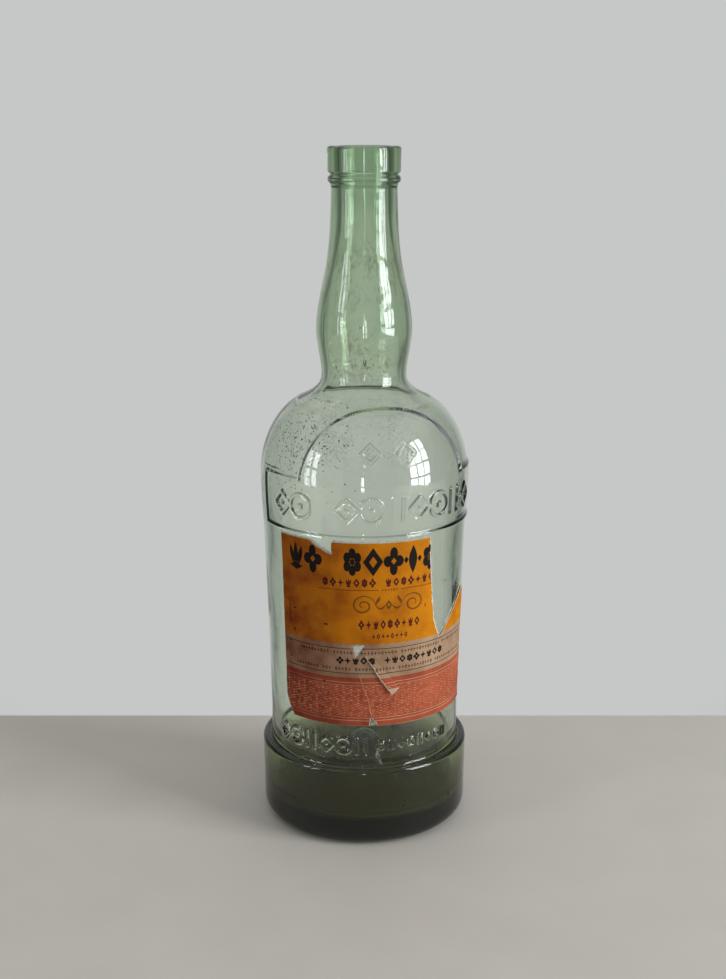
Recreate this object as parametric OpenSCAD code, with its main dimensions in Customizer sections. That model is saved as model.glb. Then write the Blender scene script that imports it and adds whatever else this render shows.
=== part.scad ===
// Mould-blown round-shouldered liqueur bottle with an applied lip, a swelled neck, a stepped
// foot band and the torn remains of its front label. It stands on z = 0 about the Z axis, and
// the front of the moulded plaque faces -Y.

/* [Overall] */
// Height from the foot ring to the rim
total_h = 300; // [285:5:315]
// Largest radius of the shoulder
shoulder_r = 45.9; // [45.5:0.1:47]
// Height at which the shoulder is widest
shoulder_z = 160; // [156:1:162]
// Radius of the body just above the foot band
waist_r = 42.6; // [42.3:0.1:43.5]

/* [Foot and punt] */
// Radius of the foot band
foot_r = 46.8; // [46.5:0.1:47.5]
// Height of the top edge of the foot band
foot_h = 36.4; // [35:0.2:37]
// Radius that rounds the heel under the foot band
heel_r = 6.8; // [5:0.2:8]
// Outer radius of the push-up's mouth, inside the ring the bottle stands on
punt_r = 36; // [32:1:37]
// Depth of the push-up under the base
punt_depth = 27; // [20:1:29]
// Height of the lowest point of the floor inside
floor_z = 8.5; // [8:0.5:14]

/* [Neck and lip] */
// Radius of the narrow waist where the neck meets the shoulder
pinch_r = 18.7; // [18.5:0.1:20]
// Radius of the neck's swelling
bulb_r = 21.0; // [20.5:0.05:22]
// Radius of the neck under the lip
neck_r = 14.2; // [13.9:0.1:14.5]
// Radius of the cylindrical bore at the mouth
bore_r = 10.6; // [9:0.1:10.8]
// Radius of the lip band and of the string ring
lip_r = 15.7; // [15.3:0.1:16.2]
// Height of the whole applied lip, string ring included
lip_h = 16; // [15:0.5:18]

/* [Wall] */
// Wall thickness of the body
body_wall = 3.0; // [2.4:0.1:3.6]
// Wall thickness of the shoulder
shoulder_wall = 2.6; // [2.2:0.1:3.2]
// Wall thickness of the neck's swelling
neck_wall = 3.0; // [2.6:0.1:4.2]

/* [Moulded relief] */
// Height that the relief stands off the glass
relief_h = 0.7; // [0.4:0.1:1]
// Width of the plaque's frame line
line_w = 1.0; // [0.8:0.1:1.5]
// Height of the banner's lower line
banner_low = 141.5; // [141:0.5:143]
// Height of the banner's upper line
banner_high = 164.5; // [163:0.5:165]
// Half the angle that the banner runs round the bottle
banner_half = 80.75; // [75:0.25:84]
// Distance from the bottle's axis to the flat plane that the arch lies in
arch_depth = 29; // [28.5:0.1:31]
// Angle of the two motifs under the arch, either side of the front
crest_a = 10.5; // [9.5:0.5:14]

/* [Label] */
// Thickness of the dried paste film
paste_t = 0.15; // [0.1:0.05:0.2]
// Thickness of the label paper
paper_t = 0.2; // [0.15:0.05:0.3]
// Half the label's width, measured round the glass
label_half = 50.6; // [48:0.1:51]
// Height of the label's lower edge
label_low = 56.2; // [54:0.2:58]
// Height of the label's upper edge
label_high = 139.2; // [138:0.2:140]

/* [Hidden] */

$fn = 96;

glass_green = [0.56, 0.66, 0.57];
lip_green = [0.44, 0.60, 0.48];
label_orange = [0.80, 0.54, 0.05];
paste_grey = [0.78, 0.74, 0.66];

// Heights and slopes of the outline, worked up from the foot
waist_z = foot_h + 7.5;
taper_z = 128;
taper_r = waist_r + 0.63 * (shoulder_r - waist_r);
dome_rise = 37;
dome_reach = 29.8;
dome_end = 62;
pinch_z = 203.1;
bulb_z = 223;
bulb_top_z = 253;
bulb_top_r = neck_r + 1.95;
lip_z = total_h - lip_h;
seat_r = neck_r - 1;
seat_top_z = total_h - 3;

// Points of a smooth curve from height z0 to z1, radius r0 to r1, with slopes m0 and m1 in
// radius per height. The first point is left out, so that curves can follow each other.
function curve(z0, r0, m0, z1, r1, m1, steps) = [
    for (i = [1 : steps])
        let (t = i / steps, h = z1 - z0)
        [
            (2 * pow(t, 3) - 3 * pow(t, 2) + 1) * r0
                + (pow(t, 3) - 2 * pow(t, 2) + t) * h * m0
                + (3 * pow(t, 2) - 2 * pow(t, 3)) * r1
                + (pow(t, 3) - pow(t, 2)) * h * m1,
            z0 + h * t
        ]
];

// Points of an elliptical arc about [r, z] with half-axes a and b, from angle t0 to t1
function arc(r, z, a, b, t0, t1, steps) = [
    for (i = [0 : steps])
        let (t = t0 + (t1 - t0) * i / steps)
        [r + a * cos(t), z + b * sin(t)]
];

// Height of a push-up shaped like half a cosine wave, at radius r
function push_up(r, reach, rise) = rise * (1 + cos(180 * r / reach)) / 2;

// Body wall outside, from the waist to the widest point of the shoulder, grown by g
function wall_side(g) = concat(
    [[waist_r + g, waist_z]],
    curve(waist_z, waist_r + g, 0.005, taper_z, taper_r + g, 0.03, 8),
    curve(taper_z, taper_r + g, 0.03, shoulder_z, shoulder_r + g, 0, 5)
);

// Dome of the shoulder, grown by g
function dome(g) = arc(
    shoulder_r - dome_reach, shoulder_z, dome_reach + g, dome_rise + g, 4, dome_end, 14);
dome_tip = dome(0)[14];

// Neck outside, from the end of the dome to the seat of the lip
function neck_side() = concat(
    curve(dome_tip.y, dome_tip.x, -2.6, pinch_z, pinch_r, 0, 6),
    curve(pinch_z, pinch_r, 0, bulb_z, bulb_r, 0, 7),
    curve(bulb_z, bulb_r, 0, bulb_top_z, bulb_top_r, -0.15, 9),
    curve(bulb_top_z, bulb_top_r, -0.15, lip_z, neck_r, -0.03, 5)
);

// Foot band outside, from the ring it stands on, over its rounded top edge and across the
// level ledge into the groove at the foot of the wall
foot_edge_r = 1.8;
groove_r = 1.3;
function foot_side() = concat(
    arc(foot_r - heel_r - 0.4, heel_r, heel_r, heel_r, -90, 0, 7),
    arc(foot_r - foot_edge_r, foot_h - foot_edge_r, foot_edge_r, foot_edge_r, 0, 100, 6),
    arc(waist_r + groove_r + 0.1, foot_h + groove_r - 0.4, groove_r, groove_r, -90, -180, 5)
);

// Inside of the bottle, from the bore at the mouth down to the floor's centre
heel_in = 8;
floor_r = foot_r - 7.3 - heel_in;
inner_top_r = shoulder_r - shoulder_wall;
inner_rise = 36 - floor_z;
function inside() = concat(
    [[bore_r, seat_top_z]],
    [[bore_r, 272]],
    curve(272, bore_r, 0, bulb_z, bulb_r - neck_wall, 0, 12),
    curve(bulb_z, bulb_r - neck_wall, 0, pinch_z + 1, pinch_r - neck_wall, 0, 6),
    curve(pinch_z + 1, pinch_r - neck_wall, 0, dome_tip.y - 2.3, dome_tip.x - 2.2, -2.1, 6),
    arc(shoulder_r - dome_reach, shoulder_z, dome_reach - shoulder_wall,
        dome_rise - shoulder_wall, dome_end - 3, 0, 12),
    curve(shoulder_z, inner_top_r, 0, taper_z, taper_r - body_wall, 0.03, 5),
    curve(taper_z, taper_r - body_wall, 0.03, floor_z + heel_in + 20,
        floor_r + heel_in, 0.02, 6),
    arc(floor_r, floor_z + heel_in, heel_in, heel_in, 0, -80, 7),
    [
        for (i = [0 : 11])
            let (r = floor_r * (1 - i / 12))
            [r, floor_z + push_up(r, floor_r, inner_rise)]
    ],
    [[0, floor_z + inner_rise]]
);

// Underside, from the push-up's centre out to the ring that the bottle stands on
function underside() = concat(
    [
        for (i = [0 : 11])
            let (r = punt_r * i / 12)
            [r, push_up(r, punt_r, punt_depth)]
    ],
    [[punt_r + 2, 0]]
);

module revolve(outline) {
    rotate_extrude() polygon(outline);
}

// Puts its children on the glass at height z, radius r and angle a from the front, facing
// outwards and tilted up from the level
root_depth = 1.5;
module on_glass(a, z, r, tilt = 0) {
    rotate([0, 0, a])
        translate([0, -r, z])
            rotate([90 - tilt, 0, 0])
                translate([0, 0, -root_depth]) children();
}

// Motifs of the relief, each h high, drawn flat and raised through the wall's outer skin
module raise() {
    linear_extrude(root_depth + relief_h) children();
}

module lozenge_motif(h) {
    raise() difference() {
        rotate(45) square(h * 0.7, center = true);
        rotate(45) square(h * 0.7 - 2.4, center = true);
    }
    raise() circle(h * 0.1);
}

module bead_ring_motif(h) {
    raise() difference() {
        circle(h / 2);
        circle(h / 2 - 1.2);
    }
    raise() square([h * 0.22, h * 0.22], center = true);
}

module twin_bar_motif(h) {
    for (side = [-1, 1])
        translate([side * h * 0.24, 0, 0]) raise() square([1.3, h], center = true);
}

module motif(kind, h) {
    if (kind == 0) lozenge_motif(h);
    if (kind == 1) bead_ring_motif(h);
    if (kind == 2) twin_bar_motif(h);
}

// A bar that runs round the glass at height z, from angle a0 to a1
module ring_bar(z, r, a0, a1) {
    rotate([0, 0, a0 - 90])
        rotate_extrude(angle = a1 - a0)
            translate([r - 1, z - line_w / 2]) square([1 + relief_h, line_w]);
}

// The plaque's frame: a banner with square ends, and an arch that springs from its upper line
// and lies in one upright plane
spring_a = acos(arch_depth / shoulder_r);
banner_r = taper_r + 0.77 * (shoulder_r - taper_r);
crown_rise = relief_h + 0.2;
module arch_line() {
    intersection() {
        revolve(concat(
            [[arch_depth / 2, banner_high]],
            [for (p = dome(relief_h)) if (p.y > banner_high) p],
            [
                for (p = curve(dome_tip.y, dome_tip.x, -2.6, pinch_z, pinch_r, 0, 6))
                    if (p.x > arch_depth - 3) [p.x, p.y + crown_rise]
            ],
            [[arch_depth / 2, pinch_z]]
        ));
        translate([-shoulder_r, -arch_depth - line_w / 2, banner_high])
            cube([2 * shoulder_r, line_w, pinch_z - banner_high]);
    }
}

module plaque_frame() {
    ring_bar(banner_low, banner_r - 0.5, -banner_half, banner_half);
    for (side = [0, 1])
        mirror([side, 0, 0]) {
            ring_bar(banner_high, shoulder_r, spring_a, banner_half);
            rotate([0, 0, banner_half - 90])
                rotate_extrude(angle = line_w)
                    translate([banner_r - 1, banner_low])
                        square([1 + relief_h, banner_high - banner_low]);
        }
    arch_line();
}

// Rows of motifs: two under the arch, nine in the banner and a run above the foot band
banner_motif_h = 11.5;
foot_motif_z = waist_z + 2.6;
crest_t = 26.5;
crest_r = shoulder_r - dome_reach * (1 - cos(crest_t));
crest_z = shoulder_z + dome_rise * sin(crest_t);
crest_tilt = atan(dome_reach * tan(crest_t) / dome_rise);
module relief_rows() {
    for (side = [-1, 1])
        on_glass(side * crest_a, crest_z, crest_r, crest_tilt) lozenge_motif(9.4);
    for (i = [0 : 9])
        if (i != 2)
            on_glass(-63.2 + 13.35 * i, (banner_low + banner_high) / 2, banner_r)
                motif(i % 3, banner_motif_h);
    for (i = [0 : 5])
        on_glass(-68.4 + 10.6 * i, foot_motif_z, waist_r) motif(i % 3, 8.4);
    for (i = [0 : 7])
        on_glass(-4 + 6.4 * i, foot_motif_z, waist_r) motif((i + 1) % 3, 4.6);
}

module glass_body() {
    color(glass_green) {
        difference() {
            union() {
                revolve(concat(
                    [[0, 0]],
                    foot_side(),
                    wall_side(0),
                    dome(0),
                    neck_side(),
                    [[seat_r, lip_z], [seat_r, seat_top_z], [0, seat_top_z]]
                ));
                plaque_frame();
                relief_rows();
            }
            revolve(concat(inside(), [[0, seat_top_z + 1], [bore_r, seat_top_z + 1]]));
            revolve(concat(underside(), [[punt_r + 2, -1], [0, -1]]));
        }
    }
}

// Lip band over a string ring, laid round the neck's end and tooled smooth
ring_r = 2.1;
edge_r = 1.3;
module applied_lip() {
    color(lip_green)
        revolve(concat(
            [[seat_r, lip_z], [neck_r, lip_z]],
            arc(lip_r - ring_r, lip_z + 2.3, ring_r, ring_r, -60, 60, 8),
            [[lip_r - 1.25, lip_z + 4.3], [lip_r - 0.1, lip_z + 5.4]],
            arc(lip_r - edge_r, total_h - edge_r, edge_r, edge_r, 0, 90, 5),
            arc(bore_r + edge_r, total_h - edge_r, edge_r, edge_r, 90, 180, 5),
            [[bore_r, seat_top_z], [seat_r, seat_top_z]]
        ));
}

// A skin on the glass from t0 to t1 off it, cut to an outline given round the glass and up it
label_r = 44.3;
module skin(t0, t1, outline) {
    side0 = [for (p = wall_side(t0)) if (p.y < 150) p];
    side1 = [for (p = wall_side(t1)) if (p.y < 150) p];
    last = len(side0) - 1;
    intersection() {
        revolve(concat(side1, [for (i = [0 : last]) side0[last - i]]));
        rotate([90, 0, 0]) linear_extrude(60)
            polygon([for (p = outline) [label_r * sin(p.x / label_r * 180 / PI), p.y]]);
    }
}

// Outline of what is left of the label: a notch in the top edge, the upper right torn away
// but for a triangle at the edge, a notch in the lower edge and one clipped corner
torn_outline = [
    [-label_half, label_low + 9],
    [-label_half, label_high],
    [-35.1, label_high],
    [-24.5, 133.6],
    [-24.2, label_high],
    [18.6, label_high],
    [22.1, 102],
    [26.0, 92.5],
    [31.1, 96.3],
    [46.0, 111.0],
    [label_half, 106],
    [label_half, label_low],
    [-4.6, label_low],
    [-7.5, label_low + 4.2],
    [-8.4, label_low],
    [-46, label_low]
];
hole_outline = [[-15.5, 93.3], [-10.3, 93.4], [-14.3, 87.2]];

module label_paste() {
    color(paste_grey)
        skin(0, paste_t, [
            [-label_half - 0.5, label_low + 8],
            [-label_half - 0.5, label_high + 0.6],
            [19.4, label_high + 0.6],
            [23.1, 102],
            [26.6, 93.6],
            [30.4, 97.3],
            [46.0, 112],
            [label_half + 0.5, 107],
            [label_half + 0.5, label_low],
            [-46.5, label_low]
        ]);
}

module label_sheet() {
    color(label_orange)
        difference() {
            skin(paste_t, paste_t + paper_t, torn_outline);
            skin(0, 2, hole_outline);
        }
}

glass_body();
applied_lip();
label_paste();
label_sheet();
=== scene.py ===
import math
import random

import bpy
from mathutils import Matrix, Vector, noise
from mathutils.geometry import delaunay_2d_cdt


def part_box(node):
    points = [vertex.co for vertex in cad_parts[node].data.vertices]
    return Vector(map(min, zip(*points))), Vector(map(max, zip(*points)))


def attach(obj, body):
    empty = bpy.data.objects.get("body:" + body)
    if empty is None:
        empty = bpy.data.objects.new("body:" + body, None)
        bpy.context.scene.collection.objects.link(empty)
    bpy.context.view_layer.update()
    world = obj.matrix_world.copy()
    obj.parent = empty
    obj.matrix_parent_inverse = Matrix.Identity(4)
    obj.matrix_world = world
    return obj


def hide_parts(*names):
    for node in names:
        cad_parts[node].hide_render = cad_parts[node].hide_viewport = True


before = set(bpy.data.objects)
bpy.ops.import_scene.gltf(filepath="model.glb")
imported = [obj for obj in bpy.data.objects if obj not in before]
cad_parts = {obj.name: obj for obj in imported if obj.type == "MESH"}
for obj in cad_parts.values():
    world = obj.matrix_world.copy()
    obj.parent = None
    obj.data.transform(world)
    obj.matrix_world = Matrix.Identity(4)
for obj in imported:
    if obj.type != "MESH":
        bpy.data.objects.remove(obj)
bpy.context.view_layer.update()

scene = bpy.context.scene
MM = 0.001

# Sizes in millimetres. Azimuths are in degrees from the front of the plaque, towards +X.
body_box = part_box("glass_body")
lip_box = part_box("applied_lip")
label_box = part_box("label_sheet")
TOTAL_H = lip_box[1].z / MM
FOOT_R = body_box[1].x / MM
LIP_R = lip_box[1].x / MM
LIP_Z = lip_box[0].z / MM
LABEL_LOW = label_box[0].z / MM
LABEL_HIGH = label_box[1].z / MM

SHOULDER_R = 45.9
SHOULDER_Z = 160
WAIST_R = 42.6
FOOT_H = 36.4
HEEL_R = 6.8
PUNT_R = 36
PUNT_DEPTH = 27
FLOOR_Z = 8.5
FLOOR_TIP_Z = 36
PINCH_R, PINCH_Z = 18.7, 203.1
BULB_R, BULB_Z = 21.0, 223
NECK_R = 14.2
BORE_R = 10.6
BODY_WALL = 3.0
SHOULDER_WALL = 2.6
NECK_WALL = 3.0

WAIST_Z = FOOT_H + 7.5
TAPER_Z = 128
TAPER_R = WAIST_R + 0.63 * (SHOULDER_R - WAIST_R)
DOME_RISE = 37
DOME_REACH = 29.8
DOME_END = 62
BULB_TOP_R, BULB_TOP_Z = NECK_R + 1.95, 253
BORE_END_Z = 272
HEEL_IN = 8
FLOOR_R = FOOT_R - 7.3 - HEEL_IN
FOOT_EDGE_R = 1.8
GROOVE_R = 1.3
FOOT_DRAFT, GROOVE_SINK, GROOVE_GAP = 0.4, 0.4, 0.1
WAIST_SLOPE, TAPER_SLOPE = 0.005, 0.03
DOME_START, DOME_FOOT_SLOPE = 4, -2.6
STRING_R, STRING_Z = 2.1, 2.3
RIM_R = 1.3

RELIEF_H = 0.7
ARCH_RISE, ARCH_HALF = 1.5, 0.58
BANNER_LOW, BANNER_HIGH = 141.5, 164.5
BANNER_HALF = 80.75
BANNER_R = TAPER_R + 0.77 * (SHOULDER_R - TAPER_R)
ARCH_DEPTH = 29
FOOT_ROW_Z = WAIST_Z + 2.6
CREST_A = 10.5
CREST_T = 26.5
CREST_H, CREST_RISE = 9.4, 1.6
# Rows of motifs: azimuth of the first, degrees between them, count, height, kind of the first.
BANNER_PAIR = (-63.2, 13.35, 2, 11.5, 0)
BANNER_ROW = (-23.15, 13.35, 7, 11.5, 0)
FOOT_LARGE = (-68.4, 10.6, 6, 8.4, 0)
FOOT_SMALL = (-4, 6.4, 8, 4.6, 1)
# Heights between which the glass has relief, and from which it has only the arch and its pair.
FOOT_RELIEF = (41, 52)
PLAQUE_RELIEF = (139, 197)
ARCH_ONLY = 167

LABEL_R = 44.3
LABEL_HALF = 50.6
PASTE_T = 0.15
PAPER_T = 0.2
FILM_HALF = 0.05


# ---- outlines and mesh pieces


def hermite(t, h, r0, m0, r1, m1):
    """Radius at t from 0 to 1 along a curve of height h, from r0 to r1 with slopes m0, m1."""
    return (
        (2 * t**3 - 3 * t**2 + 1) * r0
        + (t**3 - 2 * t**2 + t) * h * m0
        + (3 * t**2 - 2 * t**3) * r1
        + (t**3 - t**2) * h * m1
    )


def curve(z0, r0, m0, z1, r1, m1, steps=40):
    return [
        (hermite(i / steps, z1 - z0, r0, m0, r1, m1), z0 + (z1 - z0) * i / steps)
        for i in range(1, steps + 1)
    ]


def arc(r, z, a, b, t0, t1, steps=40):
    turns = [math.radians(t0 + (t1 - t0) * i / steps) for i in range(steps + 1)]
    return [(r + a * math.cos(t), z + b * math.sin(t)) for t in turns]


def push_up(r, reach, rise):
    """Height of the push-up, half a cosine wave, at radius r."""
    return rise * (1 + math.cos(math.pi * r / reach)) / 2


def around(azimuth, r, z):
    t = math.radians(azimuth)
    return (r * math.sin(t), -r * math.cos(t), z)


def spaced(outline, step_at):
    """The outline's path again, with points step_at(r, z) apart."""
    path = [Vector(p) for p in outline]
    stations = [path[0]]
    left = step_at(*path[0])
    for start, end in zip(path, path[1:]):
        length = (end - start).length
        walked = 0
        while walked + left < length:
            walked += left
            stations.append(start.lerp(end, walked / length))
            left = step_at(*stations[-1])
        left -= length - walked
    if (stations[-1] - path[-1]).length > 0.1:
        stations.append(path[-1])
    return stations


def mesh_piece(name, vertices, faces, material, smooth=True):
    mesh = bpy.data.meshes.new(name)
    mesh.from_pydata([Vector(v) * MM for v in vertices], [], faces)
    mesh.polygons.foreach_set("use_smooth", [smooth] * len(faces))
    mesh.materials.append(material)
    obj = bpy.data.objects.new(name, mesh)
    scene.collection.objects.link(obj)
    return obj


# ---- materials


def linear(hex_colour):
    """Linear RGBA of an sRGB hex colour."""
    channels = [int(hex_colour[i : i + 2], 16) / 255 for i in (1, 3, 5)]
    return [c / 12.92 if c <= 0.04045 else ((c + 0.055) / 1.055) ** 2.4 for c in channels] + [1.0]


def add(tree, kind, links=None, **settings):
    """A shader node with its settings. Its inputs are set, or linked to another node's output,
    which is that node's first one where the node alone is given."""
    node = tree.nodes.new("ShaderNode" + kind)
    for key, value in settings.items():
        setattr(node, key, value)
    for key, value in (links or {}).items():
        if isinstance(value, bpy.types.Node):
            value = value.outputs[0]
        if isinstance(value, bpy.types.NodeSocket):
            tree.links.new(value, node.inputs[key])
        else:
            node.inputs[key].default_value = value
    return node


def new_material(name):
    """A material with its node tree, its shader and the socket of the object's coordinates."""
    material = bpy.data.materials.new(name)
    material.use_nodes = True
    tree = material.node_tree
    return material, tree, tree.nodes["Principled BSDF"], add(tree, "TexCoord").outputs["Object"]


def blown_bottle_glass():
    """Soda-lime glass blown in an iron mould and fire-polished: clear, with the green of the
    iron in its sand, and a skin that isn't quite even, so that reflections waver. The neck and
    the tooled lip are greener, and lines drawn down the neck break its reflections up. The foot
    is tinted darker and yellower with painted shade."""
    material, tree, glass, place = new_material("mould-blown soda-lime glass")
    glass.inputs["Roughness"].default_value = 0.0
    glass.inputs["IOR"].default_value = 1.52
    glass.inputs["Transmission Weight"].default_value = 1.0
    # the mould's chill leaves a skin with waves about 9 mm long
    skin = add(tree, "TexNoise", {"Vector": place, "Scale": 1 / (9 * MM), "Detail": 1.0})
    bump = add(tree, "Bump", {"Height": skin, "Strength": 0.25, "Distance": 0.25 * MM})
    # the neck was pulled: lines about 2 mm apart run down it, from above the shoulder
    drawn = add(tree, "Mapping", {"Vector": place, "Scale": (1.0, 1.0, 0.04)})
    lines = add(tree, "TexNoise", {"Vector": drawn, "Scale": 1 / (2 * MM), "Detail": 1.0})
    xyz = add(tree, "SeparateXYZ", {"Vector": place})
    pulled = add(
        tree,
        "MapRange",
        {"Value": xyz.outputs["Z"], "From Min": 192 * MM, "From Max": 215 * MM, "To Max": 0.5},
    )
    streaks = add(tree, "Bump", {"Height": lines, "Strength": pulled, "Distance": 0.1 * MM, "Normal": bump})
    tree.links.new(streaks.outputs["Normal"], glass.inputs["Normal"])
    # the tint of each layer of the glass, from the foot to the lip, with painted shade at the foot
    height = add(tree, "MapRange", {"Value": xyz.outputs["Z"], "From Max": TOTAL_H * MM})
    tint = add(tree, "ValToRGB", {"Fac": height})
    shades = tint.color_ramp.elements
    shades[0].position, shades[0].color = 0.62, linear("#FCFDFC")
    shades[1].position, shades[1].color = 0.925, linear("#DCEADB")
    # painted shade: the foot, up to its flange, is tinted darker and yellower than the rest
    shaded_foot_tint = ((0.0, "#ECEDD4"), (0.118, "#ECEDD4"), (0.135, "#FCFDFC"))
    for position, colour in shaded_foot_tint + ((0.7, "#EDF5EA"), (0.9, "#E8F2E5")):
        shades.new(position).color = linear(colour)
    tree.links.new(tint.outputs["Color"], glass.inputs["Base Color"])
    # what a metre of the glass lets through: green most, red and blue least
    depth = add(tree, "VolumeAbsorption", {"Color": linear("#B6CEA0"), "Density": 100.0})
    output = tree.nodes["Material Output"]
    tree.links.new(depth.outputs["Volume"], output.inputs["Volume"])
    return material


def round_the_glass(tree, place):
    """Coordinates on the label in millimetres: round the glass and up it."""
    xyz = add(tree, "SeparateXYZ", {"Vector": place})
    front = add(tree, "Math", {0: xyz.outputs["Y"], 1: -1.0}, operation="MULTIPLY")
    turn = add(tree, "Math", {0: xyz.outputs["X"], 1: front}, operation="ARCTAN2")
    s = add(tree, "Math", {0: turn, 1: LABEL_R}, operation="MULTIPLY")
    z = add(tree, "Math", {0: xyz.outputs["Z"], 1: 1 / MM}, operation="MULTIPLY")
    sheet = add(tree, "CombineXYZ", {"X": s, "Y": z})
    return s, z, sheet


def letterpress_label_paper():
    """Thin uncoated paper printed by letterpress in orange, grey, red and black, then soaked by
    damp and age: matt, fibrous, brown-stained, darkened towards the left partly with painted
    shade, and rubbed pale on its raised wrinkles."""
    material, tree, paper, place = new_material("letterpress label paper")
    s, z, sheet = round_the_glass(tree, place)
    ink = add(tree, "Attribute", attribute_name="print")
    # brown tide marks, 14 mm across, and a darkening towards the left edge that is partly stain and partly
    # painted shade
    damp = add(tree, "TexNoise", {"Vector": sheet, "Scale": 1 / 14, "Detail": 5.0, "Roughness": 0.6})
    # painted shade, in part: the paper darkens towards the left edge
    edge = add(tree, "MapRange", {"Value": s, "From Min": 20.0, "From Max": -52.0, "To Max": 0.7})
    wet = add(tree, "MapRange", {"Value": damp, "From Min": 0.4, "From Max": 0.75, "To Max": 0.45})
    stain_and_shade_amount = add(tree, "Math", {0: edge, 1: wet}, operation="ADD")
    stain = add(
        tree,
        "Mix",
        {"Factor": stain_and_shade_amount, 6: ink.outputs["Color"], 7: linear("#84440C")},
        data_type="RGBA",
        blend_type="MULTIPLY",
    )
    # foxing: small brown spots, 2 mm apart
    fox = add(tree, "TexNoise", {"Vector": sheet, "Scale": 1 / 1.6, "Detail": 3.0, "Roughness": 0.7})
    fox_amount = add(tree, "MapRange", {"Value": fox, "From Min": 0.60, "From Max": 0.78, "To Max": 0.35})
    foxed = add(
        tree, "Mix", {"Factor": fox_amount, 6: stain.outputs[2], 7: linear("#4A2A12")}, data_type="RGBA"
    )
    # paper grain: fibres 0.5 mm long show through the ink
    grain = add(tree, "TexNoise", {"Vector": sheet, "Scale": 1 / 0.5, "Detail": 4.0, "Roughness": 0.7})
    worn = add(
        tree, "MapRange", {"Value": grain, "From Min": 0.3, "From Max": 0.7, "To Min": 0.74, "To Max": 1.18}
    )
    colour = add(
        tree, "Mix", {"Factor": 1.0, 6: foxed.outputs[2], 7: worn}, data_type="RGBA", blend_type="MULTIPLY"
    )
    # engine-turned tint: two sets of wavy lines 1.2 mm apart, printed over the lower band
    bend = add(tree, "Math", {0: s, 1: 2 * math.pi / 6.5}, operation="MULTIPLY")
    wave = add(tree, "Math", {0: bend}, operation="SINE")
    ways = []
    for way in (0.42, -0.42):
        shift = add(tree, "Math", {0: wave, 1: way, 2: z}, operation="MULTIPLY_ADD")
        phase = add(tree, "Math", {0: shift, 1: 2 * math.pi / 1.2}, operation="MULTIPLY")
        ways.append(add(tree, "Math", {0: phase}, operation="SINE"))
    crossed = add(tree, "Math", {0: ways[0], 1: ways[1]}, operation="MAXIMUM")
    band_top = add(tree, "MapRange", {"Value": z, "From Min": 74.6, "From Max": 74.4})
    band_foot = add(tree, "MapRange", {"Value": z, "From Min": 60.4, "From Max": 60.6})
    band = add(tree, "Math", {0: band_top, 1: band_foot}, operation="MULTIPLY")
    tint = add(
        tree, "MapRange", {"Value": crossed, "From Min": -0.1, "From Max": 0.9, "To Min": 0.8, "To Max": 0.0}
    )
    rubbed = add(tree, "MapRange", {"Value": fox, "From Min": 0.42, "From Max": 0.6})
    tint_left = add(tree, "Math", {0: tint, 1: rubbed}, operation="MULTIPLY")
    tint_amount = add(tree, "Math", {0: tint_left, 1: band}, operation="MULTIPLY")
    tinted = add(
        tree, "Mix", {"Factor": tint_amount, 6: colour.outputs[2], 7: linear("#C88462")}, data_type="RGBA"
    )
    tree.links.new(tinted.outputs[2], paper.inputs["Base Color"])
    paper.inputs["Roughness"].default_value = 0.7
    paper.inputs["Specular IOR Level"].default_value = 0.12
    bump = add(tree, "Bump", {"Height": grain, "Strength": 0.35, "Distance": 0.08 * MM})
    tree.links.new(bump.outputs["Normal"], paper.inputs["Normal"])
    return material


def dried_paste():
    """Starch paste brushed on and dried: a dull whitish film, thin and patchy enough to see
    the glass through."""
    material, tree, paste, place = new_material("dried starch paste")
    sheet = round_the_glass(tree, place)[2]
    brushed = add(tree, "TexNoise", {"Vector": sheet, "Scale": 1 / 3.5, "Detail": 4.0, "Roughness": 0.65})
    tone = add(
        tree, "Mix", {"Factor": brushed, 6: linear("#A9A391"), 7: linear("#DAD9CF")}, data_type="RGBA"
    )
    cover = add(
        tree,
        "MapRange",
        {"Value": brushed, "From Min": 0.35, "From Max": 0.65, "To Min": 0.25, "To Max": 0.75},
    )
    tree.links.new(tone.outputs[2], paste.inputs["Base Color"])
    tree.links.new(cover.outputs[0], paste.inputs["Alpha"])
    paste.inputs["Roughness"].default_value = 0.8
    return material


def mottled(name, grain, detail, deep, pale, roughness):
    """A matt material whose colour wanders between two, in blots about grain mm wide."""
    material, tree, matt, place = new_material(name)
    blots = add(tree, "TexNoise", {"Vector": place, "Scale": 1 / (grain * MM), "Detail": detail})
    tone = add(tree, "Mix", {"Factor": blots, 6: linear(deep), 7: linear(pale)}, data_type="RGBA")
    tree.links.new(tone.outputs[2], matt.inputs["Base Color"])
    matt.inputs["Roughness"].default_value = roughness
    return material


def dried_residue():
    """Old liqueur and dust dried on the inside of the glass: brown, matt and crusted."""
    return mottled("dried liqueur residue", 1.5, 3.0, "#3A2A16", "#7A6038", 0.7)


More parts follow.
